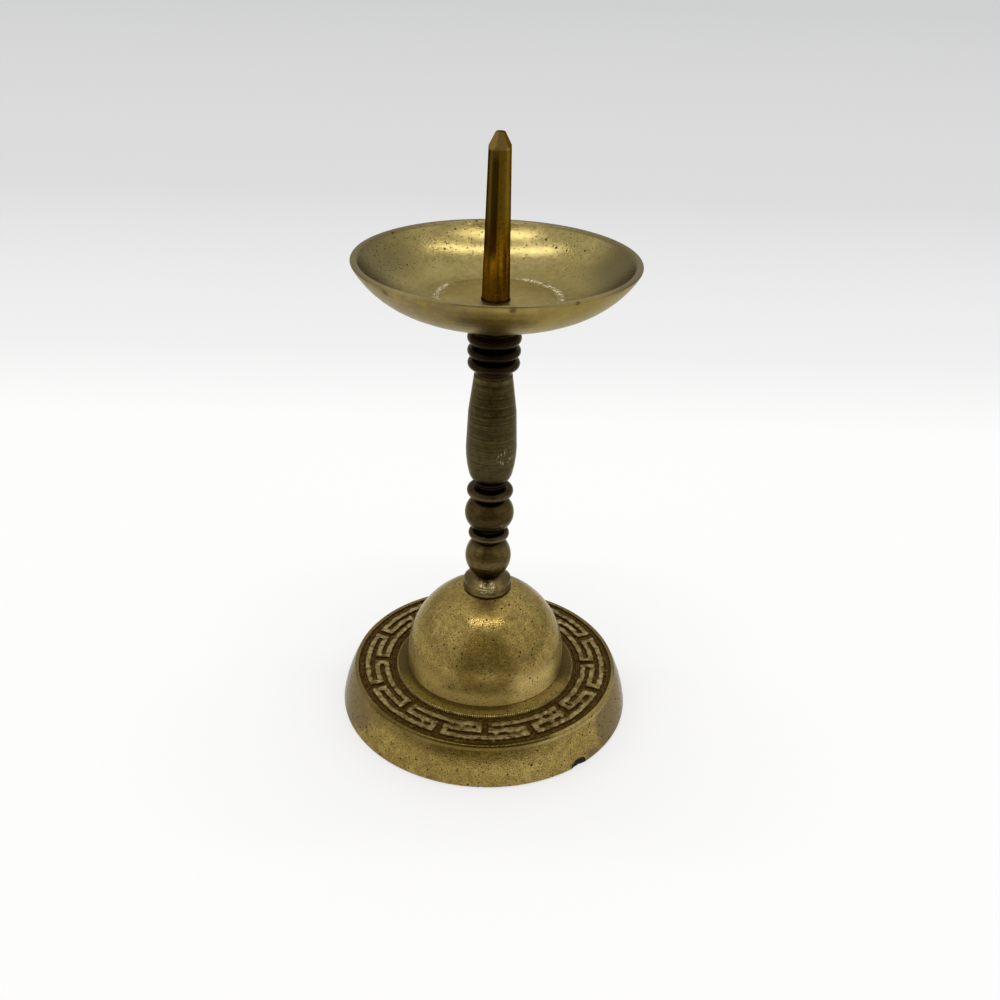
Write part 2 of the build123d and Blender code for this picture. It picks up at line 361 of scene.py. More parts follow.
def vector_step(operation, *vectors):
    """One arithmetic step between vectors."""
    return feed("ShaderNodeVectorMath", dict(enumerate(vectors)), operation=operation)


def pitting(at, spacing, size, share):
    """Round casting pits: a share of the cells of this spacing holds one pit of this radius."""
    wander = feed("ShaderNodeTexNoise", {"Vector": at, "Scale": 2.2, "Detail": 2.0})
    bent = vector_step("MULTIPLY_ADD", wander.outputs["Color"], (0.3, 0.3, 0.3), at)
    cells = feed("ShaderNodeTexVoronoi", {"Vector": bent.outputs["Vector"], "Scale": 1 / spacing})
    near = between(cells.outputs["Distance"], size / spacing, 0.45 * size / spacing)
    draw = feed("ShaderNodeSeparateColor", {"Color": cells.outputs["Color"]}).outputs["Red"]
    return all_of(near, sum_of("LESS_THAN", draw, share))


def height_of(at):
    """Height above the table, in the unit of the place."""
    return feed("ShaderNodeSeparateXYZ", {"Vector": at}).outputs["Z"]


def from_axis(at):
    """Distance from the axis, in millimetres."""
    flat = vector_step("MULTIPLY", at, (1, 1, 0))
    return vector_step("LENGTH", flat.outputs["Vector"]).outputs["Value"]


def distance_from(at, place):
    """Distance in millimetres from a place."""
    return vector_step("DISTANCE", at, place).outputs["Value"]


def towards(at, angle):
    """How squarely a place faces an angle around the axis: 1 straight on, 0 a quarter turn away."""
    turned = math.radians(angle)
    flat = vector_step("MULTIPLY", at, (1, 1, 0))
    along = vector_step("NORMALIZE", flat.outputs["Vector"])
    aim = (math.cos(turned), math.sin(turned), 0)
    return vector_step("DOT_PRODUCT", along.outputs["Vector"], aim).outputs["Value"]


def relief(height, depth, normal=None):
    """Bump from a height between 0 and 1 that stands this many millimetres deep."""
    inputs = {"Height": height, "Distance": depth * MM}
    if normal:
        inputs["Normal"] = normal
    return feed("ShaderNodeBump", inputs).outputs["Normal"]


def lay_finish(metal, colour, rough, skin, edge=EDGE_TINT):
    """Puts colour, roughness and relief on the finish, and says how metallic it is.

    Old brass stays brown where it is seen edge on, so its edges are tinted and not white."""
    inputs = {
        "Specular Tint": edge,
        "Specular IOR Level": SPECULAR_LEVEL,
        "Metallic": metal,
        "Base Color": colour,
        "Roughness": rough,
        "Normal": skin,
    }
    connect(bench["finish"].node_tree.nodes["Principled BSDF"], inputs)


FRONT_ANGLE = -89
BORDER_TICKS = 290
DOME_MIDDLE = (0.3, -18.7, 23.0)
cast_brass, at = new_finish("cast_brass")
radius = from_axis(at)
height = height_of(at)
to_front = towards(at, FRONT_ANGLE)
broad = grain(at, 14, 3)
mottle = grain(at, 1.8, 5, 0.62)
fine = grain(at, 0.32, 3, 0.6)
colour = tint(between(broad, 0.35, 0.68), (0.38, 0.27, 0.075, 1), (0.48, 0.355, 0.11, 1))
colour = tint(between(mottle, 0.3, 0.7, 0.6, 0.0), colour, (0.19, 0.128, 0.034, 1))
colour = tint(between(fine, 0.36, 0.6, 0.75, 0.0), colour, (0.12, 0.08, 0.022, 1))
low_foot = all_of(between(height, 6.5, 2.0, 0.0, 0.16), between(towards(at, 180), 0.0, 0.4))
patchy = between(grain(at, 6, 3), 0.3, 0.7, -0.12, 0.12)
handled = sum_of("ADD", sum_of("ADD", to_front, low_foot), patchy)
tarnish = all_of(between(handled, 0.72, 0.56), between(radius, 33.3, 33.6), 0.85)
colour = tint(tarnish, colour, (0.15, 0.108, 0.052, 1))
stain = between(grain(at, 4.5, 4, 0.6), 0.6, 0.74, 0.0, 0.45)
colour = tint(stain, colour, (0.17, 0.105, 0.034, 1))
on_lip = all_of(between(height, 9.8, 10.0), between(radius, 33.2, 33.5))
# Painted shade: the top of the lip is painted dark brown towards the front, to take its highlight
# away there.
lip_top_painted_shade = all_of(on_lip, between(towards(at, -102), 0.68, 0.8, 0.1, 0.92))
colour = tint(lip_top_painted_shade, colour, (0.085, 0.053, 0.01, 1))
# Painted highlight: the lip painted lighter towards the right front.
lip_painted_highlight = all_of(on_lip, between(towards(at, -32), 0.86, 0.97, 0.0, 0.35))
colour = tint(lip_painted_highlight, colour, (0.46, 0.34, 0.12, 1))
upper_left = all_of(
    between(towards(at, -124), 0.8, 0.97),
    between(height, 6.4, 8.4),
    between(radius, 33.6, 34.0),
    0.45,
)
colour = tint(upper_left, colour, (0.15, 0.1, 0.026, 1))
# Painted highlight: a light line painted along the top of the skirt towards the front and right, as
# the lip's highlight.
skirt_edge_painted_highlight = all_of(
    between(height, 9.05, 9.5),
    between(height, 10.0, 9.8),
    between(radius, 33.9, 34.2),
    between(towards(at, -70), 0.6, 0.9, 0.0, 0.45),
)
colour = tint(skirt_edge_painted_highlight, colour, (0.62, 0.5, 0.2, 1))
dull_dome = all_of(
    between(radius, 20.85, 20.45), between(height, 23.0, 16.5), between(height, 10.8, 11.5)
)
from_middle = distance_from(at, DOME_MIDDLE)
# Painted reflection: a darker arc round the middle of the dome's front, for the dim side where the
# camera stands.
dark_arc_painted_reflection = all_of(
    between(from_middle, 3.4, 5.2),
    between(from_middle, 9.2, 7.0),
    between(height, 22.4, 20.4),
    between(mottle, 0.25, 0.6, 0.75, 0.5),
)
colour = tint(dark_arc_painted_reflection, colour, (0.17, 0.112, 0.022, 1))
# Painted light: the lower dome is painted pale and made duller, most towards the front and right
# front, for the light it catches from the floor and room.
low_right = between(towards(at, -46), 0.87, 0.97)
low_left = between(towards(at, -138), 0.9, 0.98)
low_dome_painted_light = all_of(
    dull_dome,
    between(to_front, 0.3, 0.68),
    any_of(
        between(height, 16.0, 13.6),
        all_of(low_right, between(height, 21.0, 16.0)),
        all_of(low_left, between(height, 20.0, 15.0)),
    ),
    0.85,
)
pale = tint(low_right, (0.56, 0.41, 0.13, 1), (0.84, 0.64, 0.24, 1))
colour = tint(low_dome_painted_light, colour, pale)
# Painted shade: the dome's low sides, away from the front, painted darker.
dome_sides_painted_shade = all_of(
    between(radius, 20.85, 20.45),
    between(to_front, 0.62, 0.26),
    between(height, 16.0, 12.5, 0.0, 0.75),
)
colour = tint(dome_sides_painted_shade, colour, (0.17, 0.112, 0.03, 1))
specks = all_of(low_dome_painted_light, between(fine, 0.47, 0.38, 0.0, 0.75))
colour = tint(specks, colour, (0.16, 0.105, 0.024, 1))
pits = any_of(pitting(at, 0.75, 0.2, 0.62), pitting(at, 1.9, 0.36, 0.7))
colour = tint(all_of(pits, 0.86), colour, (0.022, 0.013, 0.005, 1))
ledge = all_of(
    between(radius, 23.3, 23.0),
    between(radius, 20.05, 20.25),
    between(height, 11.05, 10.75),
    between(height, 10.2, 10.45),
)
# The ledge's dull brown, with painted shade darkening it towards the dome's foot and towards the
# sides, and painted light making it paler towards the right front.
ledge_brown_and_painted_light = tint(between(radius, 20.6, 22.0), (0.075, 0.046, 0.003, 1), (0.19, 0.13, 0.02, 1))
ledge_brown_and_painted_light = tint(all_of(low_right, 0.85), ledge_brown_and_painted_light, (0.3, 0.215, 0.055, 1))
ledge_brown_and_painted_light = tint(between(to_front, 0.5, 0.2, 0.0, 0.8), ledge_brown_and_painted_light, (0.055, 0.034, 0.004, 1))
ledge_brown_and_painted_light = tint(
    between(grain(at, 0.7, 4, 0.7), 0.52, 0.36, 0.0, 0.75), ledge_brown_and_painted_light, (0.03, 0.018, 0.002, 1)
)
colour = tint(all_of(ledge, 0.9), colour, ledge_brown_and_painted_light)
band = all_of(
    between(radius, 33.5, 33.3),
    between(radius, 23.2, 23.5),
    between(height, 10.3, 10.05),
    between(height, 9.3, 9.5),
)
soot = tint(
    between(grain(at, 0.9, 4, 0.65), 0.36, 0.7), (0.05, 0.023, 0.002, 1), (0.13, 0.076, 0.015, 1)
)
colour = tint(band, colour, soot)
across = feed("ShaderNodeSeparateXYZ", {"Vector": at})
turn_angle = sum_of("ARCTAN2", across.outputs["Y"], across.outputs["X"])
ticks = sum_of("SINE", all_of(turn_angle, BORDER_TICKS))
border = all_of(
    between(radius, 22.8, 23.05), between(radius, 23.75, 23.6), between(height, 9.9, 10.0)
)
ticked = all_of(border, between(ticks, -0.5, 0.5), between(mottle, 0.35, 0.6, 0.3, 0.9))
colour = tint(all_of(border, 0.9), colour, (0.05, 0.03, 0.006, 1))
colour = tint(ticked, colour, (0.33, 0.25, 0.09, 1))
from_vault = distance_from(at, (0, 0, DOME_CENTRE))
hollow = any_of(
    all_of(between(radius, 35.6, 35.2), between(height, 7.6, 7.2)),
    all_of(between(from_vault, 18.85, 18.25), between(radius, 18.05, 17.65)),
)
as_cast = tint(between(mottle, 0.32, 0.68), (0.075, 0.05, 0.02, 1), (0.17, 0.122, 0.05, 1))
colour = tint(hollow, colour, as_cast)
rough = between(mottle, 0.25, 0.8, 0.1, 0.2)
rough = any_of(
    rough,
    all_of(pits, 0.75),
    all_of(dull_dome, 0.5),
    between(height, 29.5, 32.5, 0.0, 0.38),
    all_of(any_of(band, ledge), 0.6),
    all_of(hollow, 0.6),
)
skin = relief(sum_of("SUBTRACT", fine, pits), 0.036)
skin = relief(mottle, 0.02, skin)
skin = relief(all_of(band, grain(at, 0.7, 4, 0.7)), 0.3, skin)
skin = relief(all_of(hollow, mottle), 0.25, skin)
dull = any_of(all_of(dull_dome, 0.6), low_dome_painted_light, all_of(ledge, 0.8), all_of(band, 0.3))
metal = sum_of("SUBTRACT", 1.0, dull)
lay_finish(metal, colour, rough, skin)
base.data.materials.append(cast_brass)

# Painted shade: the chips' broken metal is painted near black for the shade inside them, and left
# rough.
broken_brass_painted_shade, at = new_finish("broken_brass_painted_shade")
crumbs = grain(at, 0.6, 4, 0.7)
colour = tint(between(crumbs, 0.35, 0.7), (0.014, 0.010, 0.006, 1), (0.075, 0.058, 0.038, 1))
lay_finish(0.4, colour, 0.7, relief(crumbs, 0.25))
for cutter in chip_cutters:
    cutter.data.materials.append(broken_brass_painted_shade)
    bpy.ops.object.select_all(action="DESELECT")
    base.select_set(True)
    bpy.context.view_layer.objects.active = base
    knock = base.modifiers.new("knock", "BOOLEAN")
    knock.object = cutter
    knock.operation = "DIFFERENCE"
    knock.solver = "EXACT"
    knock.material_mode = "TRANSFER"
    bpy.ops.object.modifier_apply(modifier=knock.name)
    bpy.data.objects.remove(cutter)
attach(base, "stand")
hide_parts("base")

# Running fret: raised lines of the same casting on the sunk band, eight pairs of blocks all round,
# between two low rings. One line winds through each pair, and sand casting has left it soft and
# uneven, with lumps of metal inside the blocks at the front.
FRET_PAIRS = 8
FRET_STROKES = (31.0, 28.525, 26.05)
FRET_LINE = 1.4
FRET_GAP = 1.6
FRET_RISE = 0.6
FRET_SINK = 0.3
STROKE_STEP = 1.5
LOW_RINGS = ((32.15, 32.95), (24.05, 24.75))
LOW_RING_RISE = 0.2
CASTING_GRAIN = 0.21
SAND_WAVER = (1.7, 0.6)
SAND_GRIT = (0.5, 0.14)
LUMP_STRETCH = (0.9, 1.25, 0.62)
FRET_LUMPS = (
    (-107.0, 27.2, 0.55), (-103.5, 27.4, 0.7), (-100.0, 27.3, 0.8), (-96.5, 27.5, 0.7),
    (-83.5, 29.6, 0.6), (-80.0, 27.2, 0.55), (-76.5, 29.6, 0.7), (-73.0, 29.7, 0.75),
    (-62.0, 27.5, 0.65), (-58.0, 27.4, 0.8), (-54.5, 29.6, 0.75), (-51.5, 27.3, 0.7),
    (-48.0, 29.5, 0.6), (-36.5, 27.5, 0.7), (-32.0, 29.5, 0.8), (-28.5, 27.4, 0.65),
    (-25.0, 29.6, 0.7), (-120.0, 29.6, 0.5), (-140.0, 27.4, 0.45), (-15.0, 27.4, 0.5),
)
fret = begin_outline("base_fret", 0, BAND_LEVEL)
bpy.ops.mesh.delete(type="VERT")


def lay_stroke(inner, outer, start, end, rise=FRET_RISE):
    """Sweeps one stroke of the fret between two radii and two angles in degrees."""
    section = ((inner + outer) / 2 * MM, 0, (BAND_LEVEL + (rise - FRET_SINK) / 2) * MM)
    bpy.ops.mesh.select_all(action="DESELECT")
    bpy.ops.mesh.primitive_plane_add(size=MM, location=section, rotation=(math.radians(90), 0, 0))
    bpy.ops.transform.resize(value=(outer - inner, 1, rise + FRET_SINK), center_override=section)
    bpy.ops.transform.rotate(value=-math.radians(start), orient_axis="Z", center_override=(0, 0, 0))
    bpy.ops.mesh.spin(
        steps=max(3, round((end - start) / STROKE_STEP)),
        angle=-math.radians(end - start),
        center=(0, 0, 0),
        axis=(0, 0, 1),
    )


half_line = FRET_LINE / 2
block_angle = 180 / FRET_PAIRS
fret_middle = FRET_STROKES[1]
gap_angle = math.degrees(FRET_GAP / fret_middle)
bar_angle = math.degrees(FRET_LINE / fret_middle)
for block in range(2 * FRET_PAIRS):
    entry, middle, way_out = FRET_STROKES if block % 2 == 0 else FRET_STROKES[::-1]
    left = FRONT_ANGLE + block * block_angle + gap_angle / 2
    right = left + block_angle - gap_angle
    turn_low, turn_high = sorted((entry, middle))
    return_low, return_high = sorted((way_out, middle))
    lay_stroke(entry - half_line, entry + half_line, left - gap_angle, right)
    lay_stroke(turn_low - half_line, turn_high + half_line, right - bar_angle, right)
    lay_stroke(middle - half_line, middle + half_line, left, right)
    lay_stroke(return_low - half_line, return_high + half_line, left, left + bar_angle)
    lay_stroke(way_out - half_line, way_out + half_line, left, right)
for ring_inner, ring_outer in LOW_RINGS:
    for quarter in range(4):
        lay_stroke(ring_inner, ring_outer, 90 * quarter, 90 * quarter + 91, LOW_RING_RISE)
for lump_angle, lump_radius, lump_size in FRET_LUMPS:
    add_lump(lump_size, lump_radius, lump_angle, BAND_LEVEL, LUMP_STRETCH)
bpy.ops.mesh.select_all(action="SELECT")
bpy.ops.mesh.normals_make_consistent(inside=False)
bpy.ops.object.mode_set(mode="OBJECT")
cast_together = fret.modifiers.new("cast_together", "REMESH")
cast_together.mode = "VOXEL"
cast_together.voxel_size = CASTING_GRAIN * MM
soft_edges = fret.modifiers.new("soft_edges", "SMOOTH")
soft_edges.factor = 0.5
soft_edges.iterations = 6
for step in (cast_together, soft_edges):
    bpy.ops.object.modifier_apply(modifier=step.name)
push_uneven(fret, "sand_waver", *SAND_WAVER)
push_uneven(fret, "sand_grit", *SAND_GRIT)
bpy.ops.object.shade_smooth()

fret_brass, at = new_finish("fret_brass")
height = height_of(at)
rubbed = sum_of("ADD", height, between(grain(at, 1.5, 4, 0.65), 0.25, 0.75, -0.2, 0.2))
rubbed = between(rubbed, 10.02, 10.58)
mottle = grain(at, 1.1, 4, 0.6)
worn = tint(between(mottle, 0.3, 0.7), (0.21, 0.156, 0.057, 1), (0.43, 0.338, 0.148, 1))
sunk = tint(between(mottle, 0.35, 0.65), (0.045, 0.022, 0.002, 1), (0.11, 0.066, 0.013, 1))
colour = tint(rubbed, sunk, worn)
pits = pitting(at, 0.8, 0.2, 0.75)
colour = tint(all_of(pits, 0.5), colour, (0.03, 0.017, 0.005, 1))
rough = between(rubbed, 0, 1, 0.65, 0.42)
skin = relief(grain(at, 0.35, 3, 0.6), 0.08)
lay_finish(0.7, colour, rough, skin)
fret.data.materials.append(fret_brass)
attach(fret, "stand")

# Washer and nut: plain plated steel inside the dome. They draw the stem's spigot down, so that
# the stem's collar sits tight on the dome.
plated_steel, at = new_finish("plated_steel")
dull = grain(at, 1.2, 5, 0.6)
colour = tint(between(dull, 0.35, 0.7), (0.22, 0.21, 0.19, 1), (0.42, 0.41, 0.38, 1))
rust = between(grain(at, 2.2, 5, 0.65), 0.6, 0.72)
colour = tint(rust, colour, (0.11, 0.05, 0.02, 1))
rough = between(dull, 0.3, 0.75, 0.35, 0.6)
lay_finish(1.0, colour, rough, relief(dull, 0.06))
for node_name in ("base_washer", "base_nut"):
    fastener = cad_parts[node_name]
    fastener.data.materials.clear()
    fastener.data.materials.append(plated_steel)

# Stem: one length of brass rod turned to balls, rings and a slim vase, left with its tool lines.
# Its threaded spigot goes down through the dome, and a tapped hole in its top takes the spike.
SPIGOT_RADIUS = 3.0
SPIGOT_END = 21.5
SPIGOT_PITCH = 1.0
COLLAR_RADIUS = 6.1
COLLAR_BAND_TOP = 35.1
COLLAR_STEP_RADIUS = 5.95
COLLAR_EDGE_TOP = 36.85
COLLAR_TOP = 38.6
LOWER_NECK = 3.5
LOWER_BALL = (48.4, 5.77)
LOWER_RING = (48.95, 51.1, 5.08)
UPPER_BALL = (51.65, 60.2, 6.08)
UPPER_RING = (60.75, 63.4, 5.7)
VASE_NECK = 3.9
NECK_GROOVES = (63.75, 64.4)
GROOVE_DEPTH = 0.3
VASE_FOOT = (4.1, 65.0)
VASE_HIP = (5.34, 67.3)
VASE_BELLY = (6.13, 74.0)
VASE_TOP = (4.53, 92.6)
RING_NECK = 4.3
TOP_RINGS = ((94.25, 96.7, 6.11), (97.3, 99.7, 6.22), (100.3, 103.1, 6.3))
STEM_TOP = 103.1
TAIL_HOLE = 2.55
TAIL_HOLE_END = 93.6
DRILL_POINT = 1.2
STEM_EDGE = 0.12
STEM_RUN = 0.9
STEM_STEPS = 112
SPIGOT_CUTS = 100
THREAD_RUNOUT = 0.6
THREAD_DEPTH = 0.61
# Tones up the stem: its patina, with painted light in it. The necks and grooves between the collar,
# balls and rings, and the top rings under the pan, are painted near black as painted shade. The
# lighter and darker bands across the collar and balls are painted reflections.
STEM_PATINA_AND_SHADING = (
    (34.0, (0.19, 0.132, 0.045)), (36.6, (0.24, 0.175, 0.062)), (38.1, (0.15, 0.108, 0.04)),
    (38.7, (0.022, 0.014, 0.005)), (39.6, (0.045, 0.03, 0.011)), (42.2, (0.17, 0.128, 0.052)),
    (44.6, (0.09, 0.062, 0.02)), (46.8, (0.15, 0.108, 0.038)), (48.3, (0.018, 0.011, 0.004)),
    (49.6, (0.16, 0.125, 0.055)), (51.2, (0.018, 0.011, 0.005)), (53.2, (0.105, 0.086, 0.042)),
    (55.6, (0.045, 0.031, 0.010)), (58.2, (0.085, 0.058, 0.018)), (60.4, (0.018, 0.010, 0.005)),
    (62.0, (0.11, 0.078, 0.040)), (63.5, (0.016, 0.010, 0.005)), (65.2, (0.022, 0.014, 0.007)),
    (67.5, (0.058, 0.044, 0.018)), (74.0, (0.072, 0.055, 0.022)), (84.0, (0.052, 0.039, 0.013)),
    (91.2, (0.062, 0.047, 0.017)), (91.7, (0.10, 0.076, 0.03)), (92.5, (0.11, 0.08, 0.032)),
    (93.0, (0.016, 0.010, 0.005)), (95.5, (0.026, 0.015, 0.007)), (98.0, (0.014, 0.008, 0.004)),
    (103.1, (0.016, 0.009, 0.005)),
)
# Scratches on the vase, the collar and the upper ball, painted bright as painted highlights.
SCRATCHES_AND_GLINTS = (
    ((3.5, -5.0, 73.5), (3.2, 1.6), (2.6, 2.6, 0.9), 2, (0.6, 0.68)),
    ((-0.2, -5.6, 37.0), (2.6, 1.6), (1.2, 1.2, 3.2), 3, (0.5, 0.6)),
    ((3.3, -4.2, 53.6), (2.4, 1.2), (0.5, 0.5, 3.0), 3, (0.54, 0.64)),
)


def ring_to(bottom, top, bulge, neck):
    """Turns a half-round ring that stands out of its neck by a flat below and above."""
    half = (top - bottom) / 2
    line_to((neck, bottom), (bulge - half, bottom))
    arc_to(bulge, bottom + half, (1, 0))
    arc_to(bulge - half, top, (0, 1))
    line_to((neck, top))


def cut_thread(piece, low, high, crest, pitch):
    """Cuts a helical thread into a plain round length between two heights."""
    depth = THREAD_DEPTH * pitch
    for vertex in piece.data.vertices:
        place = vertex.co / MM
        reach = math.hypot(place.x, place.y)
        if low <= place.z <= high and abs(reach - crest) < TOUCHING:
            lead = place.z / pitch - math.atan2(place.y, place.x) / (2 * math.pi)
            tooth = abs(2 * (lead % 1) - 1)
            fade = min(1, (place.z - low) / pitch, (high - place.z) / pitch)
            scale = 1 - depth * fade * min(1, max(0, 1.25 * tooth - 0.12)) / reach
            vertex.co.x *= scale
            vertex.co.y *= scale


def divide_for_thread(radius, end, cuts):
    """Divides the upright run at a radius finely, and goes back to its upper end."""
    select_points(lambda at: abs(at.x - radius) < TOUCHING)
    bpy.ops.mesh.subdivide(number_cuts=cuts)
    select_points(lambda at: abs(at.x - radius) < TOUCHING and abs(at.z - end) < TOUCHING)


stem = begin_outline("stem_turned", 0, SPIGOT_END)
line_to((SPIGOT_RADIUS, SPIGOT_END), (SPIGOT_RADIUS, SEAT_LEVEL))
divide_for_thread(SPIGOT_RADIUS, SEAT_LEVEL, SPIGOT_CUTS)
line_to(
    (COLLAR_RADIUS, SEAT_LEVEL),
    (COLLAR_RADIUS, COLLAR_BAND_TOP),
    (COLLAR_STEP_RADIUS, COLLAR_BAND_TOP),
    (COLLAR_STEP_RADIUS, COLLAR_EDGE_TOP),
    (LOWER_NECK, COLLAR_TOP),
)
bow_to(LOWER_NECK, LOWER_BALL[0], LOWER_BALL[1] - LOWER_NECK)
ring_to(*LOWER_RING, LOWER_NECK)
line_to((LOWER_NECK, UPPER_BALL[0]))
bow_to(LOWER_NECK, UPPER_BALL[1], UPPER_BALL[2] - LOWER_NECK)
ring_to(*UPPER_RING, VASE_NECK)
for groove in NECK_GROOVES:
    line_to(
        (VASE_NECK, groove - GROOVE_DEPTH / 2),
        (VASE_NECK - GROOVE_DEPTH, groove),
        (VASE_NECK, groove + GROOVE_DEPTH / 2),
    )
line_to((VASE_NECK, VASE_FOOT[1]), VASE_FOOT)
hip_heading = heading_out(VASE_HIP, VASE_BELLY, (0, 1))
arc_into(*VASE_HIP, hip_heading)
arc_to(*VASE_BELLY, hip_heading)
arc_to(*VASE_TOP, (0, 1))
line_to((RING_NECK, VASE_TOP[1]))
for top_ring in TOP_RINGS:
    ring_to(*top_ring, RING_NECK)
line_to((TAIL_HOLE, STEM_TOP), (TAIL_HOLE, TAIL_HOLE_END), (0, TAIL_HOLE_END - DRILL_POINT))
round_corners(
    STEM_EDGE,
    (COLLAR_RADIUS, SEAT_LEVEL),
    (COLLAR_RADIUS, COLLAR_BAND_TOP),
    (COLLAR_STEP_RADIUS, COLLAR_EDGE_TOP),
    VASE_TOP,
)
divide_runs(STEM_RUN)
turn_outline(STEM_STEPS)
cut_thread(stem, SPIGOT_END, SEAT_LEVEL - THREAD_RUNOUT, SPIGOT_RADIUS, SPIGOT_PITCH)

turned_brass, at = new_finish("turned_brass")
height = height_of(at)
lines = stretched_grain(at, (0.04, 0.04, 2.4), 5, 0.75)
mottle = grain(at, 1.2, 5, 0.62)
along_stem = feed(
    "ShaderNodeMapRange", {"Value": height, "From Min": SEAT_LEVEL, "From Max": STEM_TOP}
)
patina_and_shading = feed("ShaderNodeValToRGB", {"Fac": along_stem.outputs["Result"]})
tones = patina_and_shading.color_ramp.elements
tones[0].color = (*STEM_PATINA_AND_SHADING[0][1], 1)
tones[1].color = (*STEM_PATINA_AND_SHADING[-1][1], 1)
for level, tone in STEM_PATINA_AND_SHADING[1:-1]:
    tones.new((level - SEAT_LEVEL) / (STEM_TOP - SEAT_LEVEL)).color = (*tone, 1)
colour = patina_and_shading.outputs["Color"]
on_vase = all_of(between(height, 66, 70), between(height, 93, 92.4))
bright_lines = all_of(on_vase, between(lines, 0.5, 0.68, 0, 0.7), between(height, 72, 79, 0.4, 1.0))
colour = tint(bright_lines, colour, (0.15, 0.118, 0.052, 1))
colour = tint(between(mottle, 0.56, 0.36, 0, 0.45), colour, (0.02, 0.013, 0.006, 1))
colour = tint(between(lines, 0.5, 0.36, 0, 0.5), colour, (0.018, 0.012, 0.004, 1))
# Painted shade: the collar's sides, away from the front, painted darker.
collar_sides_painted_shade = all_of(
    between(height, 38.7, 38.4), between(towards(at, FRONT_ANGLE), 0.9, 0.55, 0.0, 0.75)
)
colour = tint(collar_sides_painted_shade, colour, (0.07, 0.05, 0.02, 1))
# Painted highlights: the scratches are painted pale, as glints.
scratches_and_glints = 0.0
for place, reach, scale, detail, step in SCRATCHES_AND_GLINTS:
    scored = between(stretched_grain(at, scale, detail), *step)
    scratches_and_glints = any_of(scratches_and_glints, all_of(between(distance_from(at, place), *reach), scored))
colour = tint(all_of(scratches_and_glints, 0.8), colour, (0.46, 0.4, 0.25, 1))
rough = between(mottle, 0.25, 0.8, 0.16, 0.3)
rough = sum_of("ADD", rough, all_of(on_vase, 0.1))
skin = relief(lines, 0.055)
skin = relief(mottle, 0.03, skin)
lay_finish(1.0, colour, rough, skin)
stem.data.materials.append(turned_brass)
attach(stem, "stand")
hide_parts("stem")

# Drip pan: a shallow cast bowl, turned inside and out, standing on a short boss on the stem.
# A hole in its floor lets the spike's tail through, with a spot face that the spike sits in.
PAN_RADIUS = 32.65
PAN_RIM = 120.2
PAN_UNDER = 108.35
PAN_FLOOR = 110.85
PAN_FLAT_RADIUS = 12.0
PAN_BEND = (24.0, 111.45)
PAN_INNER_RIM = 30.95
PAN_BOSS_RADIUS = 3.9
PAN_BOSS_FILLET = 2.62
PAN_WALL_AT_BEND = 2.1
SPIKE_SEAT_RADIUS = 3.3
SPIKE_SEAT = 110.45
RIM_ROUND = 0.75
RIM_INNER_ROUND = 0.3
SEAT_EDGE = 0.12
PAN_RUN = 1.0
PAN_STEPS = 192

pan = begin_outline("drip_pan_bowl", TAIL_HOLE, STEM_TOP)
line_to((PAN_BOSS_RADIUS, STEM_TOP), (PAN_BOSS_RADIUS, PAN_UNDER - PAN_BOSS_FILLET))
arc_to(PAN_BOSS_RADIUS + PAN_BOSS_FILLET, PAN_UNDER, (0, 1))
line_to((PAN_FLAT_RADIUS, PAN_UNDER))
bend_heading = arc_to(*PAN_BEND, (1, 0))
arc_to(PAN_RADIUS, PAN_RIM, bend_heading)
line_to((PAN_INNER_RIM, PAN_RIM))
heading = Vector(bend_heading).normalized()
inner_bend = Vector(PAN_BEND) + Vector((-heading.y, heading.x)) * PAN_WALL_AT_BEND
inner_heading = heading_out(inner_bend, (PAN_FLAT_RADIUS, PAN_FLOOR), (-1, 0))
arc_into(*inner_bend, inner_heading)
arc_to(PAN_FLAT_RADIUS, PAN_FLOOR, inner_heading)
line_to(
    (SPIKE_SEAT_RADIUS, PAN_FLOOR),
    (SPIKE_SEAT_RADIUS, SPIKE_SEAT),
    (TAIL_HOLE, SPIKE_SEAT),
    (TAIL_HOLE, STEM_TOP),
)
bpy.ops.mesh.select_all(action="SELECT")
bpy.ops.mesh.remove_doubles(threshold=SAME_PLACE)
round_corners(RIM_ROUND, (PAN_RADIUS, PAN_RIM))
round_corners(RIM_INNER_ROUND, (PAN_INNER_RIM, PAN_RIM))
round_corners(SEAT_EDGE, (SPIKE_SEAT_RADIUS, PAN_FLOOR), (PAN_BOSS_RADIUS, STEM_TOP))
divide_runs(PAN_RUN)
turn_outline(PAN_STEPS)

WAX_RING = (0.7, 0.7, 110.9)
WAX_RADIUS = 14.4
PAN_SPOTS = (
    (-135.0, 31.95, 119.0, 0.75), (-83.8, 32.1, 119.3, 0.6), (-59.4, 32.4, 119.7, 0.35),
    (20.0, 31.5, 118.3, 0.9),
)
pan_brass, at = new_finish("pan_brass")
radius = from_axis(at)
height = height_of(at)
facing = feed("ShaderNodeNewGeometry").outputs["Normal"]
facing_up = height_of(facing)
inside = between(facing_up, -0.05, 0.1)
broad = grain(at, 12, 3)
mottle = grain(at, 1.7, 5, 0.62)
fine = grain(at, 0.3, 3, 0.6)
bowl = tint(between(broad, 0.35, 0.68), (0.35, 0.275, 0.095, 1), (0.43, 0.345, 0.135, 1))
back = tint(between(broad, 0.35, 0.68), (0.3, 0.22, 0.052, 1), (0.4, 0.302, 0.085, 1))
colour = tint(inside, back, bowl)
colour = tint(between(mottle, 0.3, 0.7, 0.35, 0.0), colour, (0.19, 0.14, 0.045, 1))
colour = tint(between(fine, 0.36, 0.6, 0.35, 0.0), colour, (0.15, 0.11, 0.038, 1))
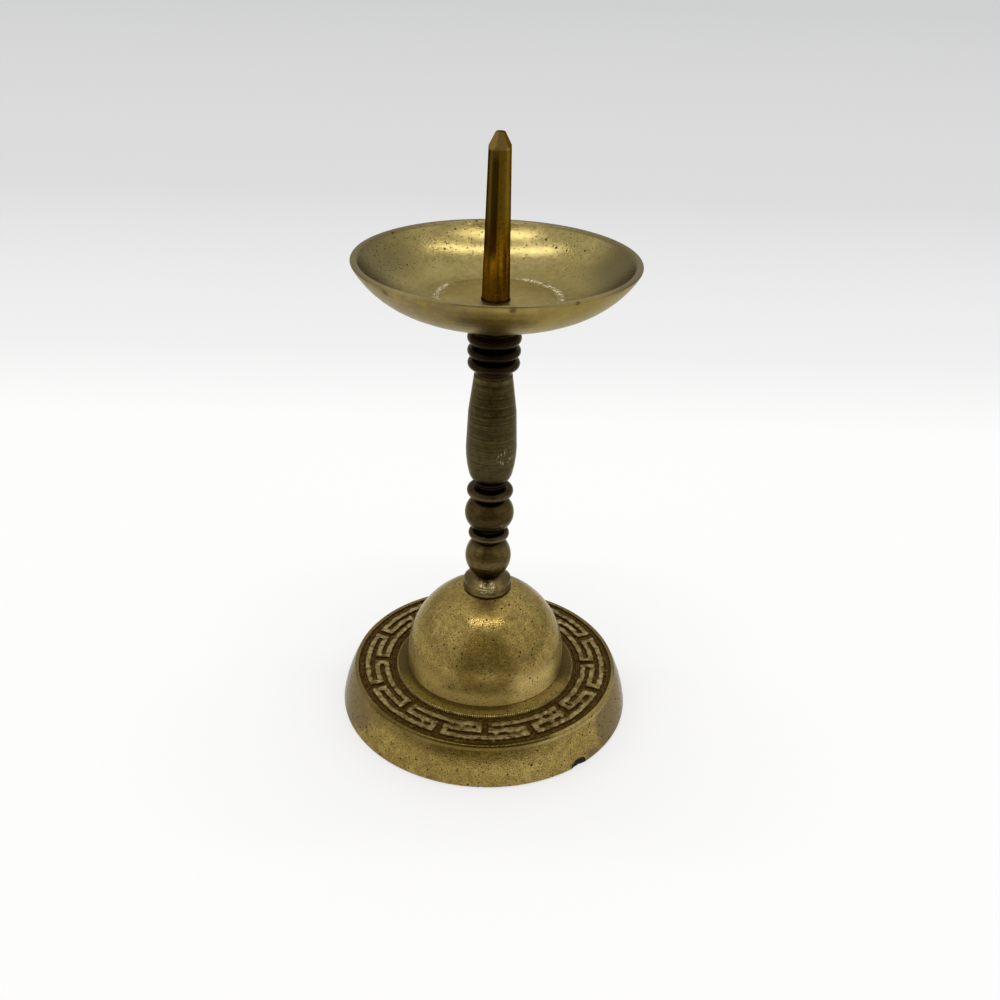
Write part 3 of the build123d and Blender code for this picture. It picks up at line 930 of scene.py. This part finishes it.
# Painted shade: the inside of the bowl painted darker towards its left and right ends.
flanks_painted_shade = any_of(
    between(towards(at, -6), 0.68, 0.93, 0.0, 1.15), between(towards(at, 180), 0.6, 0.95)
)
flanks_painted_shade = all_of(flanks_painted_shade, between(radius, 19, 27), inside, 0.75)
colour = tint(flanks_painted_shade, colour, (0.12, 0.096, 0.04, 1))
rim = all_of(
    between(height, 119.3, 119.7),
    between(radius, 30.3, 30.7),
    between(towards(at, 90), -0.7, 0.5, 0.25, 0.8),
)
colour = tint(rim, colour, (0.15, 0.115, 0.055, 1))
stain = between(grain(at, 3.5, 4, 0.6), 0.6, 0.74, 0.0, 0.4)
colour = tint(stain, colour, (0.14, 0.092, 0.034, 1))
left_stain = all_of(
    between(facing_up, 0.05, -0.1),
    between(towards(at, -122), 0.8, 0.95),
    between(grain(at, 3.0, 4, 0.65), 0.38, 0.62, 0.15, 0.75),
)
colour = tint(left_stain, colour, (0.17, 0.118, 0.06, 1))
spots = 0.0
for spot_angle, spot_radius, spot_height, spot_size in PAN_SPOTS:
    turned = math.radians(spot_angle)
    place = (spot_radius * math.cos(turned), spot_radius * math.sin(turned), spot_height)
    away = sum_of("SUBTRACT", distance_from(at, place), all_of(mottle, 0.9))
    spots = any_of(spots, between(away, spot_size, 0.4 * spot_size - 0.3))
colour = tint(all_of(spots, 0.75), colour, (0.06, 0.038, 0.015, 1))
on_back_wall = all_of(
    inside, between(radius, 19, 23), between(towards(at, 105), -0.2, 0.5, 0.1, 1.0)
)
pits = any_of(
    all_of(any_of(pitting(at, 0.9, 0.22, 0.75), pitting(at, 2.6, 0.42, 0.55)), on_back_wall),
    all_of(pitting(at, 1.7, 0.24, 0.4), between(radius, 19, 23, 0.2, 0.7)),
)
colour = tint(all_of(pits, 0.86), colour, (0.035, 0.02, 0.007, 1))
from_wax = distance_from(at, WAX_RING)
scuff_ring = all_of(
    between(from_wax, WAX_RADIUS - 1.6, WAX_RADIUS - 0.3),
    between(from_wax, WAX_RADIUS + 0.9, WAX_RADIUS + 0.1),
    any_of(between(towards(at, 25), 0.6, 0.8), between(towards(at, 165), 0.8, 0.95)),
)
scuffs = any_of(
    all_of(scuff_ring, between(grain(at, 0.7, 5, 0.75), 0.48, 0.58)),
    all_of(
        between(from_wax, 15.0, 13.5),
        between(stretched_grain(at, (0.5, 2.2, 1.0), 5, 0.75), 0.58, 0.7),
        0.4,
    ),
)
colour = tint(all_of(scuffs, inside), colour, (0.76, 0.71, 0.5, 1))
rough = between(mottle, 0.25, 0.8, 0.13, 0.22)
rough = any_of(
    rough,
    all_of(pits, 0.75),
    all_of(scuffs, inside, 0.5),
    all_of(rim, 0.4),
    between(facing_up, 0.05, -0.1, 0.0, 0.31),
    between(radius, 17.0, 11.0, 0.0, 0.32),
)
skin = relief(sum_of("SUBTRACT", fine, pits), 0.032)
skin = relief(mottle, 0.014, skin)
lay_finish(1.0, colour, rough, skin)
pan.data.materials.append(pan_brass)
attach(pan, "pan")
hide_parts("drip_pan")

# Pricket: a tapered brass spike with a point filed to six flats, tarnished to amber. Its threaded
# tail screws through the pan's floor into the stem, and so clamps the pan.
TAIL_END = 94.6
TAIL_RADIUS = 2.5
TAIL_PITCH = 0.8
SPIKE_FOOT_RADIUS = 3.15
SPIKE_SHOULDER = (2.48, 143.85)
SPIKE_TIP_RADIUS = 0.9
SPIKE_TOP = 147.35
SPIKE_FLATS = 6
FLAT_OFFSET = 9
TOP_TAPER = 0.07
SPIKE_RUN = 1.6
SPIKE_STEPS = 72
FACET_ANGLE = math.radians(20)
TAIL_CUTS = 160
AMBER_EDGE_TINT = (0.2, 0.16, 0.07, 1)

pricket = begin_outline("pricket_spike", 0, TAIL_END)
line_to((TAIL_RADIUS, TAIL_END), (TAIL_RADIUS, SPIKE_SEAT))
divide_for_thread(TAIL_RADIUS, SPIKE_SEAT, TAIL_CUTS)
line_to(
    (SPIKE_FOOT_RADIUS, SPIKE_SEAT),
    (SPIKE_FOOT_RADIUS, PAN_FLOOR),
    SPIKE_SHOULDER,
    (SPIKE_SHOULDER[0] - TOP_TAPER, SPIKE_TOP),
    (0, SPIKE_TOP),
)
divide_runs(SPIKE_RUN)
turn_outline(SPIKE_STEPS)
cut_thread(pricket, TAIL_END, SPIKE_SEAT - THREAD_RUNOUT, TAIL_RADIUS, TAIL_PITCH)
bpy.ops.object.mode_set(mode="EDIT")
point_run = SPIKE_SHOULDER[0] - SPIKE_TIP_RADIUS
point_rise = SPIKE_TOP - SPIKE_SHOULDER[1]
for flat in range(SPIKE_FLATS):
    turn = math.radians(FRONT_ANGLE + FLAT_OFFSET + flat * 360 / SPIKE_FLATS)
    facet = Vector((point_rise * math.cos(turn), point_rise * math.sin(turn), point_run))
    bpy.ops.mesh.select_all(action="SELECT")
    bpy.ops.mesh.bisect(
        plane_co=(
            SPIKE_SHOULDER[0] * math.cos(turn) * MM,
            SPIKE_SHOULDER[0] * math.sin(turn) * MM,
            SPIKE_SHOULDER[1] * MM,
        ),
        plane_no=facet.normalized(),
        use_fill=True,
        clear_outer=True,
        threshold=SAME_PLACE,
    )
bpy.ops.mesh.select_all(action="SELECT")
bpy.ops.mesh.remove_doubles(threshold=SAME_PLACE)
bpy.ops.mesh.normals_make_consistent(inside=False)
bpy.ops.object.mode_set(mode="OBJECT")
bpy.ops.object.shade_smooth_by_angle(angle=FACET_ANGLE)

DARK_REFLECTION_ANGLE = -110
FOOT_LINE = 112.6
amber_brass, at = new_finish("amber_brass")
height = height_of(at)
streaks = stretched_grain(at, (0.7, 0.7, 0.05), 3)
mottle = grain(at, 0.9, 5, 0.65)
colour = tint(between(height, 114, 136), (0.3, 0.165, 0.008, 1), (0.175, 0.108, 0.013, 1))
colour = tint(between(streaks, 0.55, 0.38, 0, 0.6), colour, (0.075, 0.038, 0.003, 1))
# Painted reflection: a dark streak down the spike, left of the front.
dark_reflection_streak = all_of(
    between(towards(at, DARK_REFLECTION_ANGLE), 0.93, 0.985),
    between(height, 119, 123),
    between(height, 143.5, 141),
    between(streaks, 0.3, 0.55, 0.55, 0.95),
)
colour = tint(dark_reflection_streak, colour, (0.03, 0.012, 0.001, 1))
# Painted shade: the spike's left side painted darker.
dark_side = all_of(
    between(towards(at, 195), 0.35, 0.8),
    between(height, 118, 124),
    between(height, 144.2, 143.4),
    0.65,
)
colour = tint(dark_side, colour, (0.05, 0.034, 0.008, 1))
colour = tint(between(mottle, 0.5, 0.34, 0, 0.35), colour, (0.06, 0.032, 0.004, 1))
foot_line = all_of(
    between(height, FOOT_LINE - 0.25, FOOT_LINE),
    between(height, FOOT_LINE + 0.3, FOOT_LINE + 0.1),
    0.5,
)
colour = tint(foot_line, colour, (0.36, 0.25, 0.05, 1))
# Painted shade: the spike painted near black at its foot, where it meets the pan's floor.
foot_painted_shade = between(height, 111.7, 110.9, 0, 0.85)
colour = tint(foot_painted_shade, colour, (0.03, 0.014, 0.003, 1))
filed = between(height, 143.6, 144.0, 0, 0.8)
colour = tint(filed, colour, (0.25, 0.172, 0.055, 1))
rough = between(mottle, 0.25, 0.8, 0.24, 0.36)
skin = relief(mottle, 0.012)
skin = relief(streaks, 0.03, skin)
lay_finish(1.0, colour, rough, skin, edge=AMBER_EDGE_TINT)
pricket.data.materials.append(amber_brass)
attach(pricket, "pricket")
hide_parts("pricket")

# Floor: a wide sheet of white paper that greys a little behind the stand, as a sweep of paper does.
# Bare metal sees it fade in front, where the sheet ends, and with the stand's shadow close by.
PAPER_SIZE = 8
PAPER_DEPTH = 1.8
PAPER_GREEN = 1.008
NEAR_GREY = (0.97, 0.97, 0.97, 1)
FAR_GREY = (0.63, 0.635, 0.635, 1)
PAPER_TONES = ((0.095, 0.97), (0.14, 0.87), (0.18, 0.84), (0.3, 0.72), (0.6, 0.68))
bpy.ops.object.select_all(action="DESELECT")
bpy.ops.mesh.primitive_plane_add(size=PAPER_SIZE, location=(0, 0, 0))
floor = bpy.context.object
floor.name = "studio_floor"
paper = bpy.data.materials.new("white_paper")
paper.use_nodes = True
paper.node_tree.nodes.clear()
bench["finish"] = paper
places = feed("ShaderNodeTexCoord").outputs["Object"]
depth = feed("ShaderNodeSeparateXYZ", {"Vector": places}).outputs["Y"]
reach = sum_of("DIVIDE", depth, PAPER_DEPTH)
sweep = feed("ShaderNodeValToRGB", {"Fac": reach})
greys = sweep.color_ramp.elements
greys[0].color = NEAR_GREY
greys[1].color = FAR_GREY
for position, grey in PAPER_TONES:
    greys.new(position).color = (grey, PAPER_GREEN * grey, grey, 1)
path = feed("ShaderNodeLightPath")
seen = sum_of("MAXIMUM", path.outputs["Is Camera Ray"], path.outputs["Is Transmission Ray"])
mirrored = path.outputs["Is Glossy Ray"]
fade = all_of(mirrored, between(depth, -0.1, -0.32))
tone = tint(fade, sweep.outputs["Color"], (0.42, 0.375, 0.25, 1))
close = between(distance_from(places, (0, 0, 0)), 0.2, 0.08)
seen_share = all_of(seen, between(depth, 0.1, 0.3, 0.55, 1.0))
mirrored_share = all_of(mirrored, between(close, 0, 1, 1.0, 0.4))
share = sum_of("ADD", seen_share, mirrored_share)
glow = feed("ShaderNodeEmission", {"Color": tone})
sheet = feed("ShaderNodeBsdfDiffuse", {"Color": sweep.outputs["Color"]})
mixed = feed("ShaderNodeMixShader", {0: share, 1: sheet.outputs[0], 2: glow.outputs[0]})
feed("ShaderNodeOutputMaterial", {"Surface": mixed.outputs[0]})
floor.data.materials.append(paper)

# Light: two long narrow lamps overhead, one in front of the stand and one behind it, in a pale room
# that is dim and warm on the side where the camera stands.
LAMP_HEIGHT = 1.0
LAMP_WIDTH = 0.06
LAMP_AIM = Vector((0, 0, 0.06))
for lamp_name, lamp_depth, lamp_length, lamp_power in (
    ("front_strip", -0.24, 0.72, 1.5),
    ("back_strip", 0.17, 0.95, 1.7),
):
    lamp = bpy.data.objects.new(lamp_name, bpy.data.lights.new(lamp_name, "AREA"))
    bpy.context.collection.objects.link(lamp)
    lamp.data.shape = "RECTANGLE"
    lamp.data.size = lamp_length
    lamp.data.size_y = LAMP_WIDTH
    lamp.data.energy = lamp_power
    lamp.location = (0.0, lamp_depth, LAMP_HEIGHT)
    lamp.rotation_euler = (LAMP_AIM - lamp.location).to_track_quat("-Z", "Y").to_euler()
OPEN_SIDE = Vector((0, -0.94, 0.34)).normalized()
world = bpy.data.worlds.new("pale_room")
bpy.context.scene.world = world
world.use_nodes = True
bench["finish"] = world
direction = feed("ShaderNodeTexCoord").outputs["Generated"]
to_open_side = vector_step("DOT_PRODUCT", direction, OPEN_SIDE).outputs["Value"]
rise = height_of(direction)
walls = tint(between(to_open_side, 0.62, 0.92), (1.0, 1.0, 1.0, 1), (0.44, 0.405, 0.28, 1))
brightness = between(rise, 0.05, 0.5, 0.62, 0.88)
connect(world.node_tree.nodes["Background"], {"Color": walls, "Strength": brightness})

# Camera: at the photograph's angle, leaning a little, as it was held.
camera = bpy.data.objects.new("camera", bpy.data.cameras.new("camera"))
bpy.context.collection.objects.link(camera)
CAMERA_AIM = Vector((0, 0, 0.05914))
CAMERA_LEAN = 0.0297
LENS_TO_SENSOR = 1.15
camera.location = (0.0, -0.24825, 0.19562)
camera.rotation_euler = (CAMERA_AIM - camera.location).to_track_quat("-Z", "Y").to_euler()
camera.rotation_euler.rotate_axis("Z", CAMERA_LEAN)
camera.data.sensor_width = 36.0
camera.data.lens = LENS_TO_SENSOR * camera.data.sensor_width
camera.data.shift_x = 0.0103
camera.data.clip_start = 0.01
bpy.context.scene.camera = camera
bpy.context.scene.view_settings.view_transform = "Standard"
